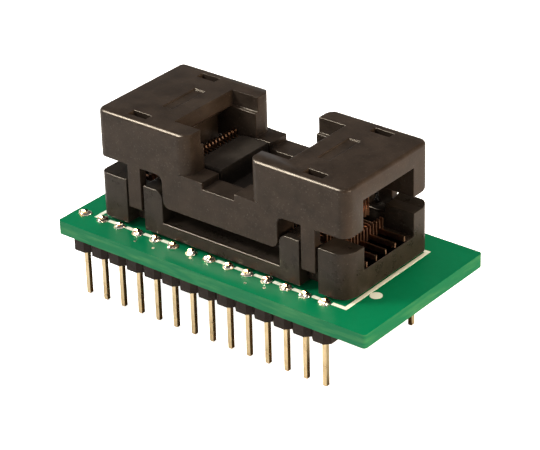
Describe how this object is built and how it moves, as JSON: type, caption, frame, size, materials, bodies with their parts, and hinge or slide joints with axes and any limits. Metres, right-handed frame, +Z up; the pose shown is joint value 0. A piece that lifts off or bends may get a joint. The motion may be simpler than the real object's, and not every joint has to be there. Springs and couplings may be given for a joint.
{
  "type": "chip programming adapter",
  "caption": "Programming adapter: a circuit board on two rows of header pins, carrying an open-top press-down test socket for a flat chip with leads at both ends.",
  "frame": {"origin": "middle of the pin pattern, in the plane of the pin tips that the part stands on", "axes": "+Z up out of the board, +X along the pin rows towards the board's bare tongue and its first-pin dot, +Y across the rows to the rear"},
  "size_m": [0.0416, 0.021, 0.0233],
  "materials": {
    "board_green": "gloss",
    "print_white": "matte",
    "header_black": "satin",
    "pin_gold": "polished",
    "solder_tin": "polished",
    "socket_dark": "satin",
    "cover_dark": "satin",
    "seat_dark": "satin",
    "contact_gold": "satin"
  },
  "bodies": {
    "board_and_base": {"board_outline_print": "print_white", "chip_seat": "seat_dark", "circuit_board": "board_green", "front_header_strip": "header_black", "front_pin_01": "pin_gold", "front_pin_02": "pin_gold", "front_pin_03": "pin_gold", "front_pin_04": "pin_gold", "front_pin_05": "pin_gold", "front_pin_06": "pin_gold", "front_pin_07": "pin_gold", "front_pin_08": "pin_gold", "front_pin_09": "pin_gold", "front_pin_10": "pin_gold", "front_pin_11": "pin_gold", "front_pin_12": "pin_gold", "front_pin_13": "pin_gold", "front_pin_14": "pin_gold", "front_solder_joints": "solder_tin", "left_contact_bases": "contact_gold", "left_tail_joints": "solder_tin", "pin_one_dot": "print_white", "rear_header_strip": "header_black", "rear_pin_01": "pin_gold", "rear_pin_02": "pin_gold", "rear_pin_03": "pin_gold", "rear_pin_04": "pin_gold", "rear_pin_05": "pin_gold", "rear_pin_06": "pin_gold", "rear_pin_07": "pin_gold", "rear_pin_08": "pin_gold", "rear_pin_09": "pin_gold", "rear_pin_10": "pin_gold", "rear_pin_11": "pin_gold", "rear_pin_12": "pin_gold", "rear_pin_13": "pin_gold", "rear_pin_14": "pin_gold", "rear_solder_joints": "solder_tin", "right_contact_bases": "contact_gold", "right_tail_joints": "solder_tin", "socket_base": "socket_dark"},
    "cover": {"socket_cover": "cover_dark"},
    "left_arms": {"left_contact_arms": "contact_gold"},
    "right_arms": {"right_contact_arms": "contact_gold"}
  },
  "joints": [
    {"name": "cover_press", "type": "slide", "parent": "board_and_base", "child": "cover", "axis": [0, 0, -1], "range_m": [0, 0.00185], "stiffness_N_per_m": 2000, "springref_m": -0.0002},
    {"name": "right_arms_open", "type": "hinge", "parent": "board_and_base", "child": "right_arms", "pos_m": [0.01099, 0, 0.01458], "axis": [0, 1, 0], "range_deg": [0, 8]},
    {"name": "left_arms_open", "type": "hinge", "parent": "board_and_base", "child": "left_arms", "pos_m": [-0.00621, 0, 0.01458], "axis": [0, -1, 0], "range_deg": [0, 8]}
  ],
  "couplings": [
    {"joint": "right_arms_open", "follows": "cover_press", "rad_per_m": 75.46},
    {"joint": "left_arms_open", "follows": "cover_press", "rad_per_m": 75.46}
  ]
}
